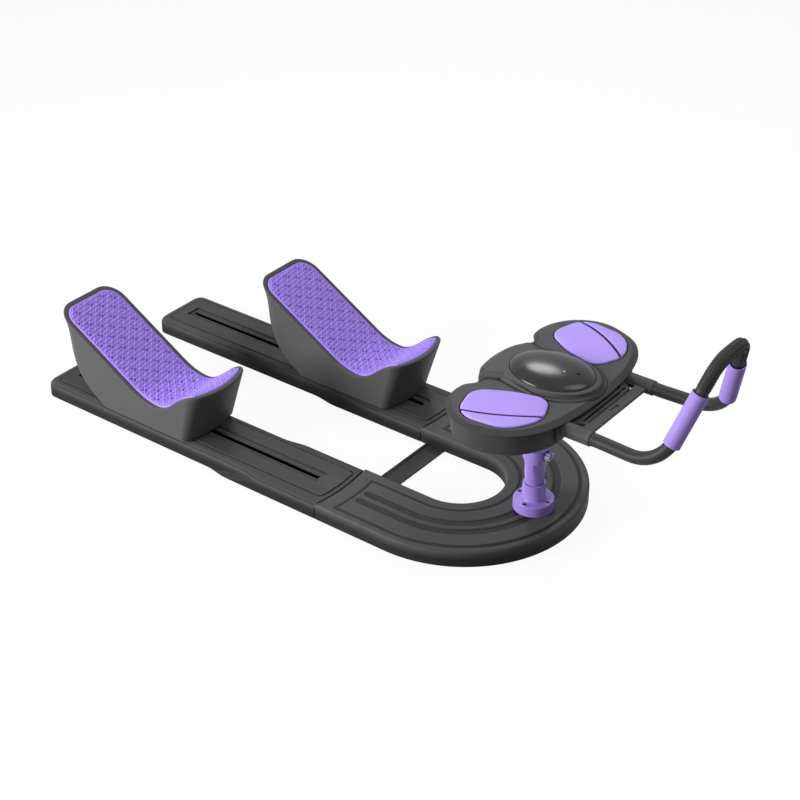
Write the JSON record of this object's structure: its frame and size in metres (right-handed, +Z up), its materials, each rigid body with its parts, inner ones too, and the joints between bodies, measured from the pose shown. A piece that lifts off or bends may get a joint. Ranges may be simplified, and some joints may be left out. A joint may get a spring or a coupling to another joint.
{
  "type": "abdominal core trainer",
  "caption": "Abdominal core trainer: a U-shaped base with rails, sliding knee cradles, a padded elbow panel with a domed counter on a column, and a bent handlebar",
  "frame": {"origin": "centre of the footprint's bounding box, on the floor under the feet", "axes": "+X runs along the rails towards the handlebar, +Y points to the trainer's left rail, +Z is up"},
  "size_m": [1.3835, 0.47, 0.4954],
  "materials": {
    "black_plastic": "satin charcoal moulding with a very fine grain",
    "black_steel": "satin black powder coat",
    "zinc_steel": "zinc plated",
    "purple_plastic": "smooth glossy purple moulding",
    "purple_foam": "soft embossed purple foam",
    "lilac_pad": "smooth matt lilac foam skin",
    "gloss_black": "high gloss black",
    "black_rubber": "matt black rubber",
    "circuit_green": "solder mask"
  },
  "bodies": {
    "base": {"u_base_shell": "black_plastic", "u_base_floor": "black_plastic", "cross_bar": "black_steel", "joint_plate_right": "zinc_steel", "joint_plate_left": "zinc_steel", "foot_front": "black_rubber", "foot_arm_right": "black_rubber", "foot_arm_left": "black_rubber", "foot_rail_right": "black_rubber", "foot_rail_left": "black_rubber", "rail_shell_right": "black_plastic", "rail_shell_left": "black_plastic", "rail_deck_right": "black_plastic", "rail_deck_left": "black_plastic", "rail_floor_right": "black_plastic", "rail_floor_left": "black_plastic", "roller_track_right": "zinc_steel", "roller_track_left": "zinc_steel", "end_stop_front_right": "black_rubber", "end_stop_rear_right": "black_rubber", "end_stop_front_left": "black_rubber", "end_stop_rear_left": "black_rubber", "column_foot": "purple_plastic", "flange_screw_1": "black_steel", "flange_screw_2": "black_steel", "flange_screw_3": "black_steel", "flange_screw_4": "black_steel"},
    "cradle_right": {"cradle_shell_right": "black_plastic", "cradle_mat_right": "purple_foam", "cradle_floor_right": "black_plastic", "slide_block_right": "black_plastic", "axle_front_right": "zinc_steel", "axle_rear_right": "zinc_steel"},
    "cradle_left": {"cradle_shell_left": "black_plastic", "cradle_mat_left": "purple_foam", "cradle_floor_left": "black_plastic", "slide_block_left": "black_plastic", "axle_front_left": "zinc_steel", "axle_rear_left": "zinc_steel"},
    "wheel_front_right": {"roller_front_right": "black_rubber"},
    "wheel_rear_right": {"roller_rear_right": "black_rubber"},
    "wheel_front_left": {"roller_front_left": "black_rubber"},
    "wheel_rear_left": {"roller_rear_left": "black_rubber"},
    "panel": {"column_neck": "purple_plastic", "clamp_band": "purple_plastic", "clamp_bolt": "zinc_steel", "column_post": "black_steel", "panel_tray": "black_plastic", "panel_cover": "black_plastic", "elbow_pad_right": "lilac_pad", "elbow_pad_left": "lilac_pad", "dome_bezel": "black_plastic", "counter_dome": "gloss_black", "counter_module": "circuit_green", "handle_bracket": "black_plastic", "handlebar": "black_steel", "grip_right": "purple_foam", "grip_left": "purple_foam", "arch_cover": "black_rubber"}
  },
  "joints": [
    {"name": "cradle_slide_right", "type": "slide", "parent": "base", "child": "cradle_right", "axis": [1, 0, 0], "range_m": [-0.165, 0.322]},
    {"name": "cradle_slide_left", "type": "slide", "parent": "base", "child": "cradle_left", "axis": [1, 0, 0], "range_m": [-0.394, 0.093]},
    {"name": "roller_spin_front_right", "type": "hinge", "parent": "cradle_right", "child": "wheel_front_right", "pos_m": [-0.3834, -0.16, 0.0164], "axis": [0, 1, 0], "range_deg": [-1200, 2300]},
    {"name": "roller_spin_rear_right", "type": "hinge", "parent": "cradle_right", "child": "wheel_rear_right", "pos_m": [-0.4554, -0.16, 0.0164], "axis": [0, 1, 0], "range_deg": [-1200, 2300]},
    {"name": "roller_spin_front_left", "type": "hinge", "parent": "cradle_left", "child": "wheel_front_left", "pos_m": [-0.154, 0.16, 0.0164], "axis": [0, 1, 0], "range_deg": [-2800, 700]},
    {"name": "roller_spin_rear_left", "type": "hinge", "parent": "cradle_left", "child": "wheel_rear_left", "pos_m": [-0.226, 0.16, 0.0164], "axis": [0, 1, 0], "range_deg": [-2800, 700]},
    {"name": "panel_swivel", "type": "hinge", "parent": "base", "child": "panel", "pos_m": [0.3257, 0, 0.089], "axis": [0, 0, 1], "range_deg": [-30, 30]}
  ],
  "couplings": [
    {"joint": "roller_spin_front_right", "follows": "cradle_slide_right", "rad_per_m": 116.28},
    {"joint": "roller_spin_rear_right", "follows": "cradle_slide_right", "rad_per_m": 116.28},
    {"joint": "roller_spin_front_left", "follows": "cradle_slide_left", "rad_per_m": 116.28},
    {"joint": "roller_spin_rear_left", "follows": "cradle_slide_left", "rad_per_m": 116.28}
  ]
}
